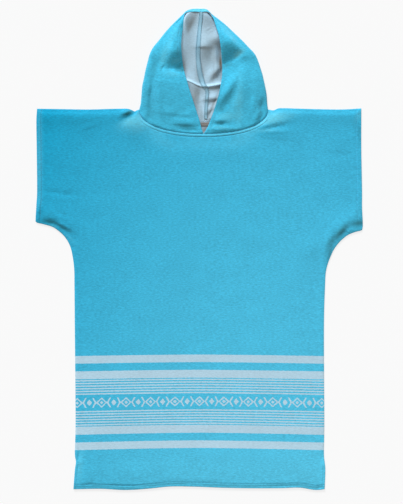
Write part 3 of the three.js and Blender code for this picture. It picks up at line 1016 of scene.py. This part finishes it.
# Materials
class Nodes:
    """Short calls for the nodes of one material."""

    def __init__(self, name):
        self.material = bpy.data.materials.new(name)
        self.material.use_nodes = True
        self.tree = self.material.node_tree
        self.shader = self.tree.nodes["Principled BSDF"]

    def add(self, kind, inputs=(), **settings):
        node = self.tree.nodes.new("ShaderNode" + kind)
        for key, value in settings.items():
            setattr(node, key, value)
        for key, value in dict(inputs).items():
            self.put(node.inputs[key], value)
        return node

    def put(self, socket, value):
        if isinstance(value, bpy.types.NodeSocket):
            self.tree.links.new(value, socket)
        else:
            socket.default_value = value

    def surface(self, values):
        for name, value in values.items():
            self.put(self.shader.inputs[name], value)

    def math(self, operation, *values, clamp=False):
        return self.add("Math", enumerate(values), operation=operation, use_clamp=clamp).outputs[0]

    def within(self, value, low, high):
        """1 where a value lies between two limits."""
        above = self.math("GREATER_THAN", value, low)
        return self.math("MULTIPLY", above, self.math("LESS_THAN", value, high))

    def vector(self, operation, *values):
        return self.add("VectorMath", enumerate(values), operation=operation).outputs[0]

    def noise(self, place, size, detail=2.0, roughness=0.5):
        """Noise with features of about the given size in millimetres, a number or one for each axis."""
        sizes = (size, size, size) if np.isscalar(size) else size
        scaled = self.add("Mapping", {"Vector": place, "Scale": [1 / (s * MM) for s in sizes]})
        inputs = {"Vector": scaled.outputs[0], "Scale": 1.0, "Detail": detail, "Roughness": roughness}
        return self.add("TexNoise", inputs).outputs["Fac"]

    def mix(self, share, first, second):
        inputs = {"Factor": share, 6: first, 7: second}
        return self.add("Mix", inputs, data_type="RGBA", clamp_factor=True).outputs[2]

    def scaled_colour(self, colour, share):
        colour = colour if isinstance(colour, bpy.types.NodeSocket) else colour[:3]
        return self.add("VectorMath", {0: colour, "Scale": share}, operation="SCALE").outputs[0]


# Stripes: distances from the middle of the border, in millimetres, of the pale bands on both sides of it
BORDER_Y = -409.7
THIN_BANDS = [(21.4 + 7.1 * i, 25.1 + 7.1 * i) for i in range(6)]
WIDE_BANDS = [(63, 84.5), (105.5, 125.7)]
BORDER_HALF = 130
# The border sags towards the sides: by how much at its top and bottom, at this distance from the middle
SAG = dict(top=3.8, bottom=5.8, at=316, power=1.5)
LOOP = 1.35  # one loop of the pile, which makes the steps in the woven figures
FIGURE = dict(period=66, half=13.2, shift=50)  # shift: periods that keep places above 0
# A lozenge with a ring and a core, in shares of it, the arms of chevrons beside it and a small diamond
LOZENGE = dict(width=14.5, ring=0.66, core=0.3)
CHEVRON = dict(slope=-0.55, start=14.5, end=18.8)
DIAMOND = dict(width=6.5, height=8.0)

# The turquoise at the dark and the light ends of the painted light across the body
TURQUOISE_DEEP = (0.000, 0.325, 0.540, 1)
TURQUOISE_LIGHT = (0.080, 0.530, 0.760, 1)
HOOD_TURQUOISE = (0.052, 0.482, 0.71, 1)
PALE = (0.43, 0.625, 0.745, 1)
REVERSE = (0.38, 0.54, 0.645, 1)
THREAD = (0.09, 0.47, 0.66, 1)
OVERLOCK = (0.25, 0.46, 0.58, 1)
# Painted shade: the dark warm grey of the back neck seam's strip and its overlock thread
NECK_PAINTED_SHADE = (0.20, 0.19, 0.18, 1)
# Painted shade: where a point's painted light is above 0, its colour gains that amount times these shares of
# itself
PAINTED_SHADE_TINT = (-0.42, -0.52, -0.57)
# Painted highlight: where it is below 0, the colour gains that amount times this, outside and on the reverse
PAINTED_HIGHLIGHT_GAIN = (-0.08, -0.145, -0.115)
PAINTED_HIGHLIGHT_GAIN_REVERSE = (-0.16, -0.28, -0.37)
# How far the painted light may reach towards highlight and towards shade
PAINTED_LIGHT_LIMITS = (-1, 1.6)
# Painted light across the body: how light the turquoise is painted at a place, a constant and shares of x, y,
# x squared and y squared
BODY_PAINTED_LIGHT = (0.625, 0.000521, -0.000547, -1.005e-6, -2.28e-7)
# Sizes of its streaks along each axis, nap and patches, and of the waves in woven yarns, which stray so far
PILE = dict(streaks=(7.5, 2.4, 4.0), nap_and_painted_light=1.6, patches=(60, 40, 50), waves=2.2, stray=2.4)
NAP_DETAIL = (3.0, 0.6)
# How light it is: a constant and shares of its streaks, nap and patches. Woven figures have less of it all
LIGHTNESS = dict(base=0.34, streaks=0.75, nap_and_painted_light=0.45, patches=0.12, woven=0.5)
PILE_RELIEF = dict(nap_and_painted_light=0.6, streaks=0.4, strength=0.6, depth=1.5)
PILE_SURFACE = {
    "Roughness": 0.92,
    "Specular IOR Level": 0.15,
    "Sheen Weight": 0.3,
    "Sheen Roughness": 0.5,
    "Sheen Tint": (0.8, 0.95, 1, 1),
}
YARN = dict(base=0.75, twist=0.5, strength=0.5, depth=0.3)
YARN_SURFACE = {"Roughness": 0.7, "Sheen Weight": 0.2}


def pale_share(nodes, x, y):
    """1 where the border's pale yarn shows: the bands and the row of woven figures."""
    calc = nodes.math
    side = calc("POWER", calc("ABSOLUTE", calc("DIVIDE", x, SAG["at"])), SAG["power"])
    down = calc("DIVIDE", calc("SUBTRACT", BORDER_Y + BORDER_HALF, y), 2 * BORDER_HALF, clamp=True)
    sag = calc("MULTIPLY_ADD", down, SAG["bottom"] - SAG["top"], SAG["top"])
    out = calc("ABSOLUTE", calc("SUBTRACT", calc("MULTIPLY_ADD", side, sag, y), BORDER_Y))
    ramp = nodes.add("ValToRGB", {"Fac": calc("DIVIDE", out, BORDER_HALF)})
    ramp.color_ramp.interpolation = "CONSTANT"
    stops = ramp.color_ramp.elements
    stops[0].position, stops[0].color = 0, (0, 0, 0, 1)
    stops.remove(stops[1])
    for start, end in THIN_BANDS + WIDE_BANDS:
        stops.new(start / BORDER_HALF).color = (1, 1, 1, 1)
        stops.new(end / BORDER_HALF).color = (0, 0, 0, 1)

    half_period = FIGURE["period"] / 2
    across = calc("ADD", calc("SNAP", x, LOOP), FIGURE["period"] * FIGURE["shift"])
    u = calc("PINGPONG", across, half_period)
    v = calc("SNAP", out, LOOP)
    lozenge = calc("ADD", calc("DIVIDE", u, LOZENGE["width"]), calc("DIVIDE", v, FIGURE["half"]))
    ring = nodes.within(lozenge, LOZENGE["ring"], 1.0)
    core = calc("LESS_THAN", lozenge, LOZENGE["core"])
    slant = calc("MULTIPLY_ADD", v, CHEVRON["slope"], u)
    arm = nodes.within(slant, CHEVRON["start"], CHEVRON["end"])
    far_u = calc("SUBTRACT", half_period, u)
    small = calc("ADD", calc("DIVIDE", far_u, DIAMOND["width"]), calc("DIVIDE", v, DIAMOND["height"]))
    diamond = calc("LESS_THAN", small, 1.0)
    figures = calc("MAXIMUM", calc("MAXIMUM", ring, core), calc("MAXIMUM", arm, diamond))
    inside = calc("LESS_THAN", out, FIGURE["half"])
    return calc("MAXIMUM", ramp.outputs["Color"], calc("MULTIPLY", figures, inside))


def painted_light_turquoise(nodes, x, y):
    """The body's turquoise with painted light: lighter towards the lower right, darker towards the upper
    left.
    """
    start, by_x, by_y, by_xx, by_yy = BODY_PAINTED_LIGHT
    along_x = nodes.math("MULTIPLY", nodes.math("MULTIPLY_ADD", x, by_xx, by_x), x)
    along_y = nodes.math("MULTIPLY", nodes.math("MULTIPLY_ADD", y, by_yy, by_y), y)
    light = nodes.math("ADD", nodes.math("ADD", along_x, along_y), start, clamp=True)
    return nodes.mix(light, TURQUOISE_DEEP, TURQUOISE_LIGHT)


def towelling(name, reverse=False, border=True):
    """Clipped pile: colour, faint streaks of the weft, a fine pile texture and a soft sheen. On the body
    panels the turquoise has painted light across it, and the mesh's painted light gives painted shade above 0
    and painted highlights below it.
    """
    nodes = Nodes(name)
    calc = nodes.math
    place = nodes.add("TexCoord").outputs["Object"]
    nap_and_painted_light = nodes.noise(place, PILE["nap_and_painted_light"], *NAP_DETAIL)
    streaks, patches = (nodes.noise(place, PILE[key]) for key in ("streaks", "patches"))
    shade = LIGHTNESS["base"]
    for key, part in dict(streaks=streaks, nap_and_painted_light=nap_and_painted_light, patches=patches).items():
        shade = calc("MULTIPLY_ADD", part, LIGHTNESS[key], shade)
    woven = calc("MULTIPLY_ADD", calc("SUBTRACT", shade, 1.0), LIGHTNESS["woven"], 1.0)
    if border:
        axes = nodes.add("SeparateXYZ", {"Vector": place}).outputs
        x, y = (calc("MULTIPLY", axes[axis], 1 / MM) for axis in "XY")
        turquoise = painted_light_turquoise(nodes, x, y)
        stray = calc("MULTIPLY", calc("SUBTRACT", nodes.noise(place, PILE["waves"]), 0.5), PILE["stray"])
        pale = pale_share(nodes, calc("ADD", x, stray), calc("ADD", y, stray))
        ground, figure = (REVERSE, turquoise) if reverse else (turquoise, PALE)
        colour = nodes.mix(pale, ground, figure)
        shade = nodes.mix(pale, woven, shade) if reverse else nodes.mix(pale, shade, woven)
    else:
        colour, shade = (REVERSE, woven) if reverse else (HOOD_TURQUOISE, shade)

    # Painted light from the mesh: painted shade where it is above 0, painted highlights where it is below
    painted_light = nodes.add("Attribute", attribute_name="nap_and_painted_light").outputs["Fac"]
    painted_highlight = calc("MAXIMUM", calc("MINIMUM", painted_light, 0), PAINTED_LIGHT_LIMITS[0])
    edge_turn_and_painted_shade = calc("MAXIMUM", calc("MINIMUM", painted_light, PAINTED_LIGHT_LIMITS[1]), 0)
    tint = nodes.vector("MULTIPLY_ADD", edge_turn_and_painted_shade, PAINTED_SHADE_TINT, (1, 1, 1))
    tinted = nodes.vector("MULTIPLY", nodes.scaled_colour(colour, shade), tint)
    gain = PAINTED_HIGHLIGHT_GAIN_REVERSE if reverse else PAINTED_HIGHLIGHT_GAIN
    relief = calc("MULTIPLY", streaks, PILE_RELIEF["streaks"])
    relief = calc("ADD", calc("MULTIPLY", nap_and_painted_light, PILE_RELIEF["nap_and_painted_light"]), relief)
    bump = {"Height": relief, "Strength": PILE_RELIEF["strength"], "Distance": PILE_RELIEF["depth"] * MM}
    nodes.surface({
        "Base Color": nodes.vector("MULTIPLY_ADD", painted_highlight, gain, tinted),
        "Normal": nodes.add("Bump", bump).outputs[0],
        **PILE_SURFACE,
    })
    return nodes.material


def yarn(name, colour, size):
    """Twisted sewing thread."""
    nodes = Nodes(name)
    twist = nodes.noise(nodes.add("TexCoord").outputs["Object"], size)
    shade = nodes.math("MULTIPLY_ADD", twist, YARN["twist"], YARN["base"])
    bump = {"Height": twist, "Strength": YARN["strength"], "Distance": YARN["depth"] * MM}
    nodes.surface({
        "Base Color": nodes.scaled_colour(colour, shade),
        "Normal": nodes.add("Bump", bump).outputs[0],
        **YARN_SURFACE,
    })
    return nodes.material


# The garment
def declare(piece, node):
    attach(piece, "root")
    if node:
        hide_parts(node)


def build_garment():
    outside = towelling("towelling")
    inside = towelling("towelling_reverse", reverse=True)
    hood_outside = towelling("hood_towelling", border=False)
    hood_inside = towelling("hood_towelling_reverse", reverse=True, border=False)
    thread = yarn("sewing_thread", THREAD, 0.8)
    overlock = yarn("overlock_thread", OVERLOCK, 1.2)
    neck_painted_shade = yarn("neck_overlock_thread_painted_shade", NECK_PAINTED_SHADE, 2.4)

    front, lines = front_panel([outside, inside])
    back = back_panel([outside, inside])
    places = ring_places()
    hood_left, left = hood_half("left", places, [hood_outside, hood_inside])
    hood_right, right = hood_half("right", places, [hood_outside, hood_inside])
    strip, strip_top = hood_allowance(overlock)
    neck_strip, neck_top = neck_allowance(neck_painted_shade)
    declare(front, "front_panel")
    declare(back, "back_panel")
    declare(hood_left, "hood_left")
    declare(hood_right, "hood_right")
    declare(strip, "hood_seam_allowance")

    front_sewing = front_thread(lines, thread)
    hood_sewing = hood_thread([left, right], thread)
    overlocking = overlock_thread("overlock_thread", strip_top, overlock)
    neck_overlocking = overlock_thread("neck_overlock_thread_painted_shade", neck_top, neck_painted_shade)
    for piece in (front_sewing, hood_sewing, overlocking, neck_strip, neck_overlocking):
        declare(piece, None)


# Floor, light and camera
FLOOR_HALF = 30000
FLOOR_SURFACE = {
    "Base Color": (0.16, 0.16, 0.16, 1),
    "Roughness": 1,
    "Specular IOR Level": 0,
    "Emission Color": (1, 1, 1, 1),
    "Emission Strength": 0.79,
}
# The key light: its bearing from the X axis, its height and its width in degrees
KEY = dict(bearing=107, height=31, width=18, energy=3.5, colour=(0.94, 1.035, 1.10))
SKY = {"Color": (1.02, 0.91, 0.83, 1), "Strength": 0.45}
CAMERA_LENS = 100
CAMERA_SENSOR = 36
PIXEL = 2.7  # one pixel of the photograph on the garment
PHOTO_LONG_SIDE = 504
CAMERA_AIM = (6.2, -7.0, 5)
CAMERA_CLIP = 100  # metres


def build_floor():
    corners = [(x * FLOOR_HALF, y * FLOOR_HALF, 0) for x, y in ((-1, -1), (1, -1), (1, 1), (-1, 1))]
    nodes = Nodes("floor")
    nodes.surface(FLOOR_SURFACE)
    floor = mesh_object("floor", corners, [(0, 1, 2, 3)], [nodes.material])


def build_light():
    """A low soft key from beyond the top of the picture, a little to the left, and a pale sky."""
    key = bpy.data.objects.new("key", bpy.data.lights.new("key", "SUN"))
    bpy.context.collection.objects.link(key)
    key.data.energy = KEY["energy"]
    key.data.angle = math.radians(KEY["width"])
    key.data.color = KEY["colour"]
    bearing, height = math.radians(KEY["bearing"]), math.radians(KEY["height"])
    level = math.cos(height)
    towards = Vector((math.cos(bearing) * level, math.sin(bearing) * level, math.sin(height)))
    key.rotation_euler = towards.to_track_quat("Z", "Y").to_euler()
    world = bpy.data.worlds.new("sky")
    bpy.context.scene.world = world
    world.use_nodes = True
    for name, value in SKY.items():
        world.node_tree.nodes["Background"].inputs[name].default_value = value


def build_camera():
    data = bpy.data.cameras.new("camera")
    camera = bpy.data.objects.new("camera", data)
    bpy.context.collection.objects.link(camera)
    data.lens = CAMERA_LENS
    data.sensor_width = CAMERA_SENSOR
    distance = PIXEL * PHOTO_LONG_SIDE * CAMERA_LENS / CAMERA_SENSOR
    camera.location = (CAMERA_AIM[0] * MM, CAMERA_AIM[1] * MM, (CAMERA_AIM[2] + distance) * MM)
    data.clip_end = CAMERA_CLIP
    bpy.context.scene.camera = camera


build_floor()
build_light()
build_camera()
build_garment()
bpy.context.scene.view_settings.view_transform = "Standard"
